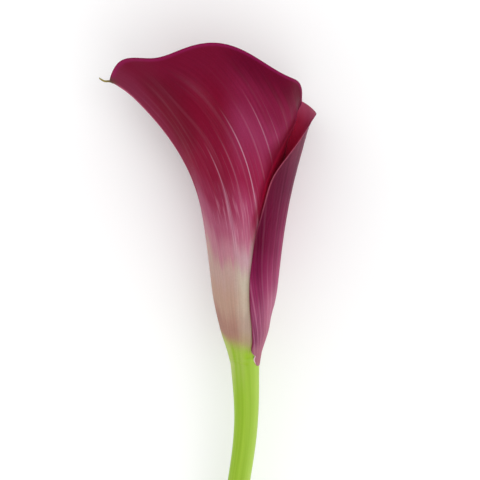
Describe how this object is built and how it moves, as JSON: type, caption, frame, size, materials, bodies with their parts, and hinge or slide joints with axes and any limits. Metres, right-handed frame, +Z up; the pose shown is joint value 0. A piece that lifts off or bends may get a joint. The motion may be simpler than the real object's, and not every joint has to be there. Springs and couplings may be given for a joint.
{
  "type": "calla lily flower",
  "caption": "Cut calla lily lying down: a rolled burgundy spathe with a flared rim and curled tip, round a yellow spadix, on a bent green stem.",
  "frame": {"origin": "middle of the bounding box, on the surface the flower lies on", "axes": "+Y from the cut end towards the mouth, +Z up, the spathe's tip points along -X"},
  "size_m": [0.0784, 0.2582, 0.0556],
  "materials": {
    "stem": "smooth, fresh, satin",
    "spathe": "satin petal, cream and green towards its foot",
    "female_flowers": "satin",
    "male_flowers": "matt, powdery"
  },
  "bodies": {
    "root": {"stem": "stem", "spathe": "spathe", "spadix_female_flowers": "female_flowers", "spadix_male_flowers": "male_flowers"}
  },
  "joints": []
}
